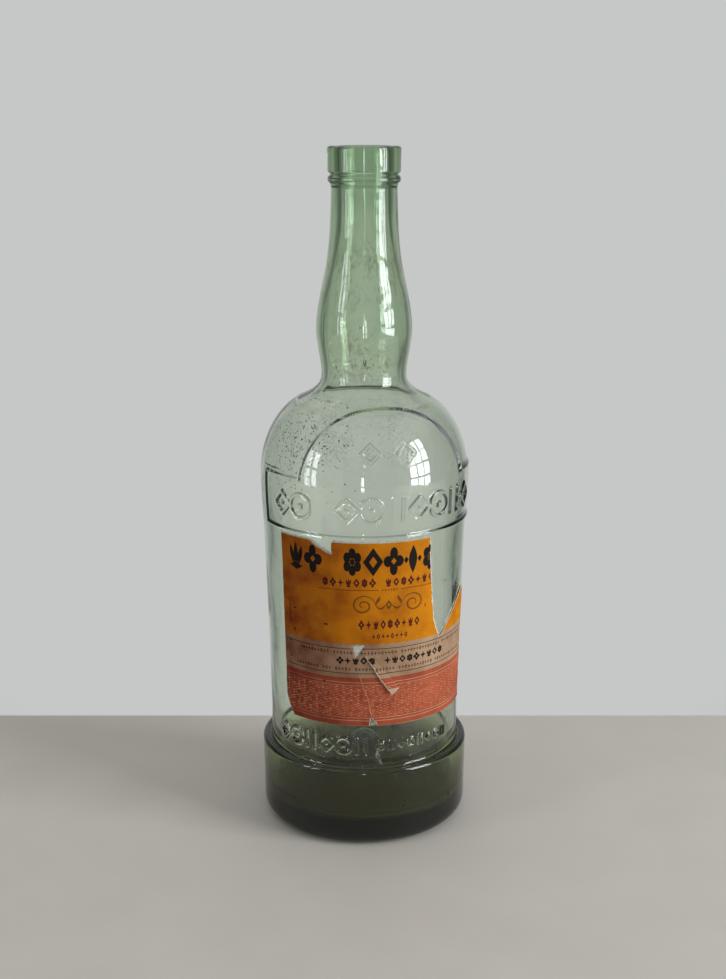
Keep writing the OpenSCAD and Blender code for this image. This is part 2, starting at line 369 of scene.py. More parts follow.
def stain_and_shade_film(name, deep, pale, grain, patch, least, most, foot, top):
    """A thin film on the inside of the glass: liqueur and dust dried to a stain in the neck and on
    the shoulder, and painted shade in the foot; dull, in grains and in wider patches, both given in
    mm, and fading out at the heights foot and top."""
    material, tree, film, place = new_material(name)
    drawn = add(tree, "Mapping", {"Vector": place, "Scale": (1.0, 1.0, 0.6)})
    grains = add(
        tree, "TexNoise", {"Vector": drawn, "Scale": 1 / (grain * MM), "Detail": 4.0, "Roughness": 0.6}
    )
    patches = add(tree, "TexNoise", {"Vector": drawn, "Scale": 1 / (patch * MM)})
    tone = add(tree, "Mix", {"Factor": grains, 6: linear(deep), 7: linear(pale)}, data_type="RGBA")
    thick = add(tree, "Math", {0: grains, 1: patches}, operation="ADD")
    cover = add(
        tree,
        "MapRange",
        {"Value": thick, "From Min": 1.05, "From Max": 1.35, "To Min": least, "To Max": most},
    )
    xyz = add(tree, "SeparateXYZ", {"Vector": place})
    for gone, full in (foot, top):
        fade = add(
            tree,
            "MapRange",
            {"Value": xyz.outputs["Z"], "From Min": gone * MM, "From Max": full * MM},
            interpolation_type="SMOOTHSTEP",
        )
        cover = add(tree, "Math", {0: cover, 1: fade}, operation="MULTIPLY")
    tree.links.new(tone.outputs[2], film.inputs["Base Color"])
    tree.links.new(cover.outputs[0], film.inputs["Alpha"])
    film.inputs["Roughness"].default_value = 0.75
    film.inputs["Specular IOR Level"].default_value = 0.15
    return material


def painted_base_shade():
    """Painted shade in the hollow under the base: a near black, matt skin."""
    return mottled("painted shade under the base", 5, 4.0, "#080805", "#1A180F", 0.9)


def pale_board():
    """Matt pale paint on a flat board, rolled on, with a faint mottle."""
    return mottled("matt painted board", 40, 5.0, "#BDB7AD", "#C8C2B8", 0.65)


# ---- camera, light and floor

# The camera's distance from the bottle's axis and height, in mm, and its turn downwards.
CAMERA_AZIMUTH = -13.75
CAMERA_OUT = 630
CAMERA_HEIGHT = 312.6
CAMERA_PITCH = 14.4
LENS = 53.7
ASIDE = -0.0012


def make_camera():
    data = bpy.data.cameras.new("camera")
    data.lens = LENS
    data.sensor_width = 36
    data.shift_x = ASIDE
    data.clip_start = 0.01
    camera = bpy.data.objects.new("camera", data)
    camera.location = Vector(around(CAMERA_AZIMUTH, CAMERA_OUT, CAMERA_HEIGHT)) * MM
    camera.rotation_euler = (math.radians(90 - CAMERA_PITCH), 0, math.radians(CAMERA_AZIMUTH))
    scene.collection.objects.link(camera)
    scene.camera = camera


def make_room():
    """A pale wall behind the bottle, a pale room and ceiling in front, and dim sides."""
    world = bpy.data.worlds.new("room")
    world.use_nodes = True
    scene.world = world
    tree = world.node_tree
    sky = tree.nodes["Background"]
    place = add(tree, "TexCoord")
    to_wall = Vector(around(CAMERA_AZIMUTH + 180, 1, 0))
    facing = add(tree, "VectorMath", {0: place.outputs["Generated"], 1: to_wall}, operation="DOT_PRODUCT")
    side = add(tree, "MapRange", {"Value": facing.outputs["Value"], "From Min": -1.0, "From Max": 1.0})
    ramp = add(tree, "ValToRGB", {"Fac": side})
    stops = ramp.color_ramp.elements
    stops[0].position, stops[0].color = 0.02, linear("#B2B4B4")
    stops[1].position, stops[1].color = 0.95, linear("#C6C8C7")
    for position, tone in ((0.13, "#7E8182"), (0.35, "#54585A"), (0.72, "#606566"), (0.88, "#8C9090")):
        stops.new(position).color = linear(tone)
    height = add(tree, "SeparateXYZ", {"Vector": place.outputs["Generated"]})
    overhead = add(
        tree,
        "MapRange",
        {"Value": height.outputs["Z"], "From Min": 0.4, "From Max": 0.75},
        interpolation_type="SMOOTHSTEP",
    )
    room = add(
        tree, "Mix", {"Factor": overhead, 6: ramp.outputs["Color"], 7: linear("#D2D4D4")}, data_type="RGBA"
    )
    tree.links.new(room.outputs[2], sky.inputs["Color"])


def window(name, azimuth, elevation, distance, columns, rows, pane, bar, watts):
    """Panes of daylight between glazing bars, standing round the bottle and facing it."""
    middle = Vector((0, 0, 0.17))
    out = Vector(around(azimuth, math.cos(math.radians(elevation)), math.sin(math.radians(elevation))))
    turn = out.to_track_quat("Z", "Y").to_matrix()
    for i in range(columns):
        for j in range(rows):
            across = (i - (columns - 1) / 2) * (pane[0] + bar)
            up = (j - (rows - 1) / 2) * (pane[1] + bar)
            light = bpy.data.lights.new(f"{name}_{i}_{j}", "AREA")
            light.shape = "RECTANGLE"
            light.size, light.size_y = pane
            light.energy = watts
            light.color = linear("#F4F8FF")[:3]
            lamp = bpy.data.objects.new(light.name, light)
            lamp.matrix_world = Matrix.Translation(
                middle + out * distance + turn @ Vector((across, up, 0))
            ) @ turn.to_4x4()
            lamp.visible_camera = False
            scene.collection.objects.link(lamp)


def make_floor():
    """A pale board whose far edge runs square to the camera, a little behind the bottle."""
    half_w, near, far, thick = 1100, -1100, 100, 25
    corners = [(-half_w, near), (half_w, near), (half_w, far), (-half_w, far)]
    turned = Matrix.Rotation(math.radians(CAMERA_AZIMUTH), 3, "Z")
    top = -0.2
    vertices = [turned @ Vector((x, y, z)) for z in (top - thick, top) for x, y in corners]
    sides = [(i, (i + 1) % 4, (i + 1) % 4 + 4, i + 4) for i in range(4)]
    faces = [(3, 2, 1, 0), (4, 5, 6, 7)] + sides
    board = mesh_piece("floor_board", vertices, faces, pale_board(), smooth=False)


# ---- the glass


def dome(wall, start, end):
    """The shoulder's dome from one turn in degrees to another, at wall mm inside its skin."""
    return arc(SHOULDER_R - DOME_REACH, SHOULDER_Z, DOME_REACH - wall, DOME_RISE - wall, start, end)


def outer_outline():
    """From the ring that the bottle stands on, up the outside and over the rim to the bore."""
    tip_r, tip_z = dome(0, DOME_START, DOME_END)[-1]
    groove_at = (WAIST_R + GROOVE_R + GROOVE_GAP, FOOT_H + GROOVE_R - GROOVE_SINK)
    return (
        [(PUNT_R + 2, 0)]
        + arc(FOOT_R - HEEL_R - FOOT_DRAFT, HEEL_R, HEEL_R, HEEL_R, -90, 0)
        + arc(FOOT_R - FOOT_EDGE_R, FOOT_H - FOOT_EDGE_R, FOOT_EDGE_R, FOOT_EDGE_R, 0, 100)
        + arc(*groove_at, GROOVE_R, GROOVE_R, -90, -180)
        + [(WAIST_R, WAIST_Z)]
        + curve(WAIST_Z, WAIST_R, WAIST_SLOPE, TAPER_Z, TAPER_R, TAPER_SLOPE)
        + curve(TAPER_Z, TAPER_R, TAPER_SLOPE, SHOULDER_Z, SHOULDER_R, 0)
        + dome(0, DOME_START, DOME_END)
        + curve(tip_z, tip_r, DOME_FOOT_SLOPE, PINCH_Z, PINCH_R, 0)
        + curve(PINCH_Z, PINCH_R, 0, BULB_Z, BULB_R, 0)
        + curve(BULB_Z, BULB_R, 0, BULB_TOP_Z, BULB_TOP_R, -0.15)
        + curve(BULB_TOP_Z, BULB_TOP_R, -0.15, LIP_Z, NECK_R, -0.03)
        + arc(LIP_R - STRING_R, LIP_Z + STRING_Z, STRING_R, STRING_R, -60, 60)
        + [(LIP_R - 1.25, LIP_Z + 4.3), (LIP_R - 0.1, LIP_Z + 5.4)]
        + arc(LIP_R - RIM_R, TOTAL_H - RIM_R, RIM_R, RIM_R, 0, 90)
        + arc(BORE_R + RIM_R, TOTAL_H - RIM_R, RIM_R, RIM_R, 90, 180)
    )


def inner_outline():
    """From the bore down the inside to the edge of the floor."""
    tip_r, tip_z = dome(0, DOME_START, DOME_END)[-1]
    top_r = SHOULDER_R - SHOULDER_WALL
    wall_r = TAPER_R - BODY_WALL
    return (
        [(BORE_R, TOTAL_H - 3), (BORE_R, BORE_END_Z)]
        + curve(BORE_END_Z, BORE_R, 0, BULB_Z, BULB_R - NECK_WALL, 0)
        + curve(BULB_Z, BULB_R - NECK_WALL, 0, PINCH_Z + 1, PINCH_R - NECK_WALL, 0)
        + curve(PINCH_Z + 1, PINCH_R - NECK_WALL, 0, tip_z - 2.3, tip_r - 2.2, -2.1)
        + dome(SHOULDER_WALL, DOME_END - 3, 0)
        + curve(SHOULDER_Z, top_r, 0, TAPER_Z, wall_r, TAPER_SLOPE)
        + curve(TAPER_Z, wall_r, TAPER_SLOPE, FLOOR_Z + HEEL_IN + 20, FLOOR_R + HEEL_IN, 0.02)
        + arc(FLOOR_R, FLOOR_Z + HEEL_IN, HEEL_IN, HEEL_IN, 0, -80)
    )


def wall_radius(z):
    """Radius of the body's outside at height z, from the waist to the shoulder."""
    if z < TAPER_Z:
        h = TAPER_Z - WAIST_Z
        return hermite((z - WAIST_Z) / h, h, WAIST_R, WAIST_SLOPE, TAPER_R, TAPER_SLOPE)
    h = SHOULDER_Z - TAPER_Z
    return hermite((z - TAPER_Z) / h, h, TAPER_R, TAPER_SLOPE, SHOULDER_R, 0)


def dent(azimuth, z):
    """How far the blown outside falls short of the mould at a place, in mm: in waves 38 mm
    long round a 45 mm wall, and 52 mm up it."""
    x, y, _ = around(azimuth, 45 / 38, 0)
    return 0.13 * (1 + noise.noise(Vector((x, y, z / 52))))


def thinning(azimuth, z):
    """How unevenly the inside was blown at a place, in mm either way: in waves 30 mm long
    round a 45 mm wall and 60 mm up it, with weaker ones about 2.3 times finer."""
    x, y, _ = around(azimuth, 45 / 30, 0)
    slow = noise.noise(Vector((x + 7, y, z / 60)))
    quick = noise.noise(Vector((x * 2.3, y * 2.3 + 5, z / 26)))
    return 0.42 * slow + 0.16 * quick


def inside_radius(azimuth, r, z):
    """Radius r of the inside as it was blown: uneven, but true again towards the mouth."""
    settled = min(1, max(0, (TOTAL_H - 4 - z) / 30))
    return r + thinning(azimuth, z) * settled * min(1, r / 20)


def line(distance, half=0.5, soft=0.2):
    """Height, 0 to 1, of a raised line with rounded edges at a distance from its middle."""
    t = min(1, max(0, (half + soft - distance) / (2 * soft)))
    return t * t * (3 - 2 * t)


def to_segment(px, py, ax, ay, bx, by):
    """Distance from a point to a straight stretch."""
    dx, dy = bx - ax, by - ay
    t = min(1, max(0, ((px - ax) * dx + (py - ay) * dy) / (dx * dx + dy * dy)))
    return math.hypot(px - ax - t * dx, py - ay - t * dy)


def motif(kind, h, u, v):
    """Height of a lozenge, bead ring or twin bars, h high, at u across and v up from it."""
    if abs(u) > h or abs(v) > h:
        return 0
    stroke = min(0.75, h * 0.09)
    if kind == 0:
        edge = abs((abs(u) + abs(v)) / math.sqrt(2) - (h * 0.7 - 1.2) / 2)
        return max(line(edge, stroke), line(math.hypot(u, v), h * 0.08))
    if kind == 1:
        edge = abs(math.hypot(u, v) - (h / 2 - 0.6))
        return max(line(edge, stroke), line(max(abs(u), abs(v)), h * 0.1))
    bars = to_segment(abs(u), v, h * 0.24, -h / 2 + stroke, h * 0.24, h / 2 - stroke)
    return line(bars, stroke)


def in_row(row_of_motifs, azimuth, r, v):
    """Height, 0 to 1, of a row of motifs at an azimuth and v up from its middle."""
    start, pitch, count, high, shift = row_of_motifs
    i = round((azimuth - start) / pitch)
    if not 0 <= i < count:
        return 0
    return motif((i + shift) % 3, high, math.radians(azimuth - start - pitch * i) * r, v)


SPRING_A = math.degrees(math.acos(ARCH_DEPTH / SHOULDER_R))
CREST_Z = SHOULDER_Z + DOME_RISE * math.sin(math.radians(CREST_T))
CREST_SLOPE = math.cos(math.atan(DOME_REACH * math.tan(math.radians(CREST_T)) / DOME_RISE))


def relief(azimuth, r, z, normal_y):
    """Height of the plaque, its frame and the foot's row of motifs at a place, 0 to 1."""
    if PLAQUE_RELIEF[0] < z <= BANNER_HIGH + 2:
        s = abs(azimuth) * math.pi / 180 * BANNER_R
        end = BANNER_HALF * math.pi / 180 * BANNER_R
        spring = SPRING_A * math.pi / 180 * BANNER_R
        frame_line = min(
            to_segment(s, z, 0, BANNER_LOW, end, BANNER_LOW),
            to_segment(s, z, end, BANNER_LOW, end, BANNER_HIGH),
            to_segment(s, z, spring, BANNER_HIGH, end, BANNER_HIGH),
        )
        height = line(frame_line)
        up = z - (BANNER_LOW + BANNER_HIGH) / 2
        pair = in_row(BANNER_PAIR, azimuth, BANNER_R, up)
        height = max(height, pair, in_row(BANNER_ROW, azimuth, BANNER_R, up))
        if z > BANNER_HIGH - 1 and abs(azimuth) < 90:
            y = -r * math.cos(math.radians(azimuth))
            d = math.hypot((y + ARCH_DEPTH) / math.sqrt(1 - normal_y**2), max(0, BANNER_HIGH - z))
            height = max(height, ARCH_RISE * line(d, ARCH_HALF))
        return height
    if z > BANNER_HIGH and abs(azimuth) < 60:
        y = -r * math.cos(math.radians(azimuth))
        height = line(abs(y + ARCH_DEPTH) / math.sqrt(1 - normal_y**2), ARCH_HALF)
        u = math.radians(abs(azimuth) - CREST_A) * r
        crest = motif(0, CREST_H, u, (z - CREST_Z) / CREST_SLOPE)
        return max(ARCH_RISE * height, CREST_RISE * crest)
    if FOOT_RELIEF[0] < z < FOOT_RELIEF[1]:
        up = z - FOOT_ROW_Z
        return max(in_row(FOOT_LARGE, azimuth, WAIST_R, up), in_row(FOOT_SMALL, azimuth, WAIST_R, up))
    return 0


def outside_step(r, z):
    """Length of the mesh's steps up the outside: fine over relief, the foot's edge and the lip."""
    if z > LIP_Z - 1 or 41 < z < 52 or 139.5 < z < ARCH_ONLY:
        return 0.45
    if 33 < z < 41:
        return 0.4
    if ARCH_ONLY < z < 196.5:
        return 0.56
    return 1.5 if z < 33 else 2.0


def has_relief(z):
    return any(low < z < high for low, high in (FOOT_RELIEF, PLAQUE_RELIEF))


def join_rings(faces, low, high):
    """Faces between two rings of (azimuth, vertex), which may have unlike numbers of points."""
    if len(low) == len(high):
        count = len(low)
        for i in range(count):
            j = (i + 1) % count
            faces.append((low[i][1], low[j][1], high[j][1], high[i][1]))
        return
    low = low + [(low[0][0] + 360, low[0][1])]
    high = high + [(high[0][0] + 360, high[0][1])]
    i = j = 0
    while i < len(low) - 1 or j < len(high) - 1:
        up_low = i < len(low) - 1 and (j == len(high) - 1 or low[i + 1][0] <= high[j + 1][0])
        if up_low:
            faces.append((low[i][1], low[i + 1][1], high[j][1]))
            i += 1
        else:
            faces.append((low[i][1], high[j + 1][1], high[j][1]))
            j += 1


def add_seeds(vertices, faces):
    """Small stretched bubbles caught in the wall, as hollows in the glass."""
    spread = random.Random(5)
    for i in range(47):
        z = spread.uniform(48, 250) if i else 211
        azimuth = spread.uniform(-180, 180) if i else -13
        r_out = radius_at(OUTSIDE, z)
        r_in = radius_at(INSIDE, z)
        size = min(spread.uniform(0.12, 0.4), (r_out - r_in) * 0.22) if i else 0.7
        middle = Vector(around(azimuth, (r_out + r_in) / 2 - 0.1, z))
        stretch = spread.uniform(1.0, 2.6)
        first = len(vertices)
        rings, sides = 5, 8
        vertices.append(middle + Vector((0, 0, size * stretch)))
        for j in range(1, rings):
            t = math.pi * j / rings
            for k in range(sides):
                q = 2 * math.pi * k / sides
                side = (math.sin(t) * math.cos(q), math.sin(t) * math.sin(q), stretch * math.cos(t))
                vertices.append(middle + size * Vector(side))
        vertices.append(middle - Vector((0, 0, size * stretch)))
        last = len(vertices) - 1
        for k in range(sides):
            n = (k + 1) % sides
            faces.append((first, first + 1 + n, first + 1 + k))
            for j in range(rings - 2):
                a = first + 1 + j * sides
                faces.append((a + k, a + n, a + sides + n, a + sides + k))
            b = last - sides
            faces.append((last, b + k, b + n))


def floor_path():
    """The floor over the push-up, from just inside the gutter to near the axis."""
    steps = [FLOOR_R * (1 - i / 14) * 0.985 for i in range(14)]
    return [(r, FLOOR_Z + push_up(r, FLOOR_R, FLOOR_TIP_Z - FLOOR_Z)) for r in steps]


def radius_at(outline, z):
    """Radius of an outline at height z."""
    for (r0, z0), (r1, z1) in zip(outline, outline[1:]):
        if min(z0, z1) <= z <= max(z0, z1) and z0 != z1:
            return r0 + (r1 - r0) * (z - z0) / (z1 - z0)
    return outline[-1][0]


OUTSIDE = outer_outline()
INSIDE = inner_outline()


def make_glass():
    """The body and its lip as one closed skin of glass, as they are fused."""
    front = [-84 + i / 2 for i in range(337)]
    fine = front + [84 + 3 * i for i in range(1, 64)]
    arched = [-60 + i / 2 for i in range(241)] + [60 + 3 * i for i in range(1, 80)]
    plain = [-84 + 3 * i for i in range(120)]
    vertices, rings, faces = [Vector((0, 0, PUNT_DEPTH))], [], []

    def ring(columns, place):
        rings.append([(a, len(vertices) + k) for k, a in enumerate(columns)])
        vertices.extend(Vector(place(a)) for a in columns)

    for i in range(1, 25):
        r = PUNT_R * i / 24
        ring(plain, lambda a: around(a, r, push_up(r, PUNT_R, PUNT_DEPTH)))
    stations = spaced(OUTSIDE, outside_step)
    for k, (r, z) in enumerate(stations):
        before = stations[max(0, k - 1)]
        after = stations[min(len(stations) - 1, k + 1)]
        run = (after - before).normalized()
        out_r, out_z = run.y, -run.x
        columns = plain
        if has_relief(z):
            columns = arched if z > ARCH_ONLY else fine
        flat = min(1, z / 20) * min(1, max(0, (TOTAL_H - 2 - z) / 15))

        def place(a):
            normal_y = -out_r * math.cos(math.radians(a))
            signed = a if a <= 180 else a - 360
            high = RELIEF_H * relief(signed, r, z, normal_y) if has_relief(z) else 0
            high -= dent(a, z) * flat
            return around(a, r + high * out_r, z + high * out_z)

        ring(columns, place)
    for r, z in spaced(INSIDE, lambda r, z: 3.2 if z < 270 else 2.0):
        ring(plain, lambda a: around(a, inside_radius(a, r, z), z))
    for r, z in floor_path():
        ring(plain, lambda a: around(a, r, z))
    vertices.append(Vector((0, 0, FLOOR_TIP_Z)))
    for low, high in zip(rings, rings[1:]):
        join_rings(faces, low, high)
    count = len(plain)
    for k in range(count):
        n = (k + 1) % count
        faces.append((0, rings[0][n][1], rings[0][k][1]))
        faces.append((len(vertices) - 1, rings[-1][k][1], rings[-1][n][1]))
    add_seeds(vertices, faces)
    glass = mesh_piece("blown_glass", vertices, faces, blown_bottle_glass())
    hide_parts("glass_body", "applied_lip")
    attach(glass, "root")


# ---- the label

ORANGE = linear("#C67A00")
STRIP = linear("#AA8C6E")
PINK = linear("#A85236")
CORE = linear("#D9CDB6")
BLACK = linear("#1C1712")
MAROON = linear("#5A1E14")
SEPIA = linear("#7A4A12")
RULE = linear("#4A3A30")
WORN = linear("#C9A688")
BARE = linear("#B9A68A")

STRIP_HIGH, STRIP_LOW = 94.0, 78.5


def rough(outline, tears, amount=0.28, step=0.7, shrink=0.0, worn=0.25, seed=0):
    """The outline with its torn sides frayed; tears are the numbers of its torn sides. With
    shrink the torn sides draw in where the ink has come away, and the cut ones by worn of it."""
    points = []
    count = len(outline)
    for k in range(count):
        start = Vector(outline[k])
        end = Vector(outline[(k + 1) % count])
        torn = k in tears
        side = (end - start).normalized()
        inward = Vector((-side.y, side.x))
        pieces = max(1, round((end - start).length / (step if torn else 2.5)))
        for i in range(pieces):
            p = start.lerp(end, i / pieces)
            wander = noise.noise(Vector((p.x / 1.3, p.y / 1.3, seed)))
            wander += 0.6 * noise.noise(Vector((p.x / 0.5, p.y / 0.5, seed + 9)))
            sway = 0.8 * noise.noise(Vector((p.x / 5.0, p.y / 5.0, seed + 4)))
            if torn:
                push = amount * (wander + sway) + shrink * (1 + 0.9 * wander)
            else:
                push = 0.06 * wander + shrink * worn * max(0, 1 + 1.5 * sway)
            points.append(p + inward * push)
    return [tuple(p) for p in points]


def ellipse(cx, cz, a, b, steps=20):
    return [
        (cx + a * math.cos(2 * math.pi * i / steps), cz + b * math.sin(2 * math.pi * i / steps))
        for i in range(steps)
    ]


def slab(x0, z0, x1, z1):
    return [(x0, z0), (x1, z0), (x1, z1), (x0, z1)]


def lozenge(cx, cz, a, b):
    return [(cx - a, cz), (cx, cz - b), (cx + a, cz), (cx, cz + b)]


def lens(cx, cz, a, b, lean=0.0, steps=6):
    """An upright leaf, pointed at both ends, 2a wide and 2b high, its top leaning over."""
    rise = [-1 + 2 * i / steps for i in range(steps + 1)]
    right = [(cx + a * math.cos(q * math.pi / 2) + lean * q, cz + b * q) for q in rise]
    left = [(cx - a * math.cos(q * math.pi / 2) + lean * q, cz + b * q) for q in rise[1:-1]]
    return right + left[::-1]


def star(cx, cz, a, b):
    """A four-pointed star."""
    points = []
    for i in range(8):
        t = math.pi * i / 4
        reach = 1.0 if i % 2 == 0 else 0.36
        points.append((cx + a * reach * math.cos(t), cz + b * reach * math.sin(t)))
    return points


def ornament(kind, cx, cz, w, h, ink, ground):
    """A printer's ornament in heavy and light strokes, w wide and h high about cx, cz, as
    polygons to be laid one over the other."""
    if kind == "palmette":
        return [
            (lens(cx, cz + h * 0.05, w * 0.15, h * 0.45), ink),
            (lens(cx - w * 0.26, cz + h * 0.02, w * 0.14, h * 0.36, -w * 0.12), ink),
            (lens(cx + w * 0.26, cz + h * 0.02, w * 0.14, h * 0.36, w * 0.12), ink),
            (lozenge(cx, cz - h * 0.36, w * 0.42, h * 0.14), ink),
        ]
    if kind == "quatrefoil":
        return [
            (ellipse(cx - w * 0.27, cz, w * 0.25, h * 0.2, 14), ink),
            (ellipse(cx + w * 0.27, cz, w * 0.25, h * 0.2, 14), ink),
            (ellipse(cx, cz + h * 0.27, w * 0.2, h * 0.23, 14), ink),
            (ellipse(cx, cz - h * 0.27, w * 0.2, h * 0.23, 14), ink),
            (lozenge(cx, cz, w * 0.14, h * 0.12), ground),
        ]
    if kind == "rosette":
        petals = [
            (ellipse(cx + w * 0.3 * math.cos(q), cz + h * 0.3 * math.sin(q), w * 0.18, h * 0.19, 12), ink)
            for q in [math.pi * (i + 0.5) / 3 for i in range(6)]
        ]
        return petals + [(ellipse(cx, cz, w * 0.12, h * 0.12, 10), ink)]
    if kind == "lozenge":
        return [(lozenge(cx, cz, w / 2, h / 2), ink), (lozenge(cx, cz, w * 0.2, h * 0.2), ground)]
    if kind == "star":
        return [(star(cx, cz, w / 2, h / 2), ink)]
    return [
        (lens(cx, cz, w * 0.24, h / 2), ink),
        (lozenge(cx - w * 0.38, cz, w * 0.13, h * 0.13), ink),
        (lozenge(cx + w * 0.38, cz, w * 0.13, h * 0.13), ink),
    ]


DISPLAY = ("palmette", "quatrefoil", "star", "rosette", "lozenge", "quatrefoil", "spindle", "rosette")
TEXT_SIZE = ("lozenge", "rosette", "quatrefoil", "star", "palmette")
SMALL = ("star", "lozenge", "star")


def row(x0, x1, z0, z1, count, ink, ground, gaps=(), kinds=SMALL, turn=0, fill=0.8):
    """A row of ornaments from x0 to x1, with the cells numbered in gaps left empty."""
    cell = (x1 - x0) / count
    shapes = []
    for i in range(count):
        if i in gaps:
            continue
        kind = kinds[(i + turn) % len(kinds)]
        middle = x0 + cell * (i + 0.5)
        shapes += ornament(kind, middle, (z0 + z1) / 2, cell * fill, z1 - z0, ink, ground)
    return shapes


def stroke(points, width, ink):
    """A pen stroke along points, swelling with width(t), as short four-sided pieces, so that it
    may cross itself."""
    left, right = [], []
    last = len(points) - 1
    for k, p in enumerate(points):
        here = Vector(p)
        run = (Vector(points[min(last, k + 1)]) - Vector(points[max(0, k - 1)])).normalized()
        across = Vector((-run.y, run.x)) * width(k / last) / 2
        left.append(tuple(here + across))
        right.append(tuple(here - across))
    return [([left[k], right[k], right[k + 1], left[k + 1]], ink) for k in range(last)]


def flourish(x0, x1, z0, z1):
    """A printer's tailpiece: two mirrored scrolls that grow from a lozenge."""
    middle_x, middle_z = (x0 + x1) / 2, (z0 + z1) / 2
    half = (x1 - x0) / 2
    curl = (z1 - z0) / 2
    heart = lozenge(middle_x, middle_z, 0.6, 0.9)
    pieces = [(lozenge(middle_x, middle_z, 1.5, 2.3), SEPIA), (heart, ORANGE)]
    for side in (-1, 1):
        scroll = []
        for i in range(61):
            t = i / 60
            turn = math.pi * (1 - 3.4 * t)
            reach = curl * (1 - 0.85 * t)
            x = middle_x + side * (half - curl + reach * math.cos(turn))
            scroll.append((x, middle_z + reach * math.sin(turn) * 0.9))
        stem = [
            (middle_x + side * (1.5 + (half - 2 * curl - 1.5) * t), middle_z - 1.6 * math.sin(math.pi * t))
            for t in [i / 10 for i in range(11)]
        ]
        swell = lambda t: 0.3 + 0.45 * math.sin(math.pi * t)
        pieces += stroke(stem, swell, SEPIA) + stroke(scroll, swell, SEPIA)
        leaf_x = middle_x + side * (half - 2 * curl - 1.0)
        pieces.append((lens(leaf_x, middle_z + 2.2, 0.7, 2.0, -side * 0.9), SEPIA))
    return pieces


def label_print():
    """Everything printed on the label, in the order it is laid down."""
    wide = 53
    shapes = [
        (slab(-wide, STRIP_HIGH, wide, 150), ORANGE),
        (slab(-wide, STRIP_LOW, wide, STRIP_HIGH), STRIP),
        (slab(-wide, 50, wide, STRIP_LOW), PINK),
        (slab(-49.0, 91.6, wide, 91.95), RULE),
        (slab(-49.0, 80.3, wide, 80.65), RULE),
        (slab(-48.6, 76.1, wide, 76.35), WORN),
        (slab(-48.6, 58.5, wide, 58.75), WORN),
        (slab(-48.8, 58.5, -48.5, 76.35), WORN),
        (slab(-47.2, 59.8, wide, 60.0), WORN),
        (slab(-47.2, 74.8, wide, 75.0), WORN),
    ]
    shapes += row(-46, 23.5, 124.6, 137.2, 8, BLACK, ORANGE, (2,), DISPLAY, fill=0.97)
    shapes += row(-29, 21.5, 119.6, 123.7, 15, MAROON, ORANGE, (7,), TEXT_SIZE, 1)
    shapes += [(slab(-31, 118.2, -4.5, 118.45), MAROON), (slab(5, 118.2, wide, 118.45), MAROON)]
    shapes += row(-3.5, 4.0, 117.7, 119.0, 6, MAROON, ORANGE)
    shapes += flourish(-16.4, 16.2, 106.2, 116.8)
    shapes += row(-13.4, 14.6, 100.6, 105.0, 9, MAROON, ORANGE, (), TEXT_SIZE, 2)
    shapes += row(-7.6, 8.8, 96.0, 98.8, 8, MAROON, ORANGE)
    shapes += [
        (slab(-46.4, 99.5, -46.0, 110.5), MAROON),
        (slab(-49.0, 110.2, -46.0, 110.5), MAROON),
        (slab(17.0, 108.3, 17.4, 110.0), MAROON),
    ]
    shapes += row(-41, 46, 88.9, 90.9, 58, RULE, STRIP, (10, 17, 30, 45), fill=0.9)
    shapes += row(-23, 29, 84.6, 88.1, 15, BLACK, STRIP, (5,), TEXT_SIZE, 2, fill=0.92)
    shapes += row(-43, 46, 81.5, 83.5, 60, RULE, STRIP, (8, 12, 18, 31, 44), fill=0.9)
    shapes += stroke(CREASE, lambda t: 0.22, WORN)
    spots = (
        (-46.6, 91.2, 0.55, 0.4), (-46.4, 84.0, 0.55, 0.4), (-43.5, 106.8, 0.9, 0.35),
        (-43.8, 97.0, 0.5, 0.8), (-27.4, 102.2, 1.0, 0.4), (-28.6, 76.0, 0.5, 0.5),
    )
    return shapes + [(ellipse(*spot, 8), BLACK) for spot in spots]


TORN_OUTLINE = [
    (-LABEL_HALF, LABEL_LOW + 9), (-46, LABEL_LOW), (-8.4, LABEL_LOW), (-7.5, LABEL_LOW + 4.2),
    (-4.6, LABEL_LOW), (LABEL_HALF, LABEL_LOW), (LABEL_HALF, 106), (46.0, 111.0), (31.1, 96.3),
    (26.0, 92.5), (22.1, 102), (18.6, LABEL_HIGH), (-24.2, LABEL_HIGH), (-24.5, 133.6),
    (-35.1, LABEL_HIGH), (-LABEL_HALF, LABEL_HIGH),
]
TORN_SIDES = {0, 2, 3, 7, 8, 9, 10, 12, 13}
HOLE = [(-15.5, 93.3), (-14.3, 87.2), (-10.3, 93.4)]
CREASE = [(-12.8, 80), (-11.2, 74.5), (-9, 69.2), (-7.5, 61.0)]
FLAP = [(-10.6, 88.9), (1.2, 70.5), (4.9, 73.3), (2.4, 77.0), (-7.6, 88.8)]


def to_path(s, z, path):
    return min(to_segment(s, z, *a, *b) for a, b in zip(path, path[1:]))


# where the sheet's edges and corners have curled: place round and up, reach, lift
CURLS = (
    (-29, 137.5, 4, 0.5), (-24, 137, 3, 0.45), (19, 137, 4, 0.5), (22, 103, 4, 0.4),
    (27, 94, 3.5, 0.55), (45, 109, 4, 0.5), (-7.5, 59, 3, 0.4), (-48, 61, 4, 0.4),
)


def sheet_lift(s, z):
    """How far the paper's underside stands off the glass at a place."""
    lift = PASTE_T + 0.10 * (1 + noise.noise(Vector((s / 9, z / 6, 2))))
    lift += 0.05 * (1 + noise.noise(Vector((s / 2.2, z / 2.6, 5))))
    lift += 0.16 * (1 - abs(noise.noise(Vector((s / 7, z / 12, 8))))) ** 6
    lift += 0.30 * math.exp(-((to_path(s, z, CREASE) / 0.7) ** 2))
    for at_s, at_z, reach, high in CURLS:
        lift += high * math.exp(-((s - at_s) ** 2 + (z - at_z) ** 2) / reach**2)
    return lift


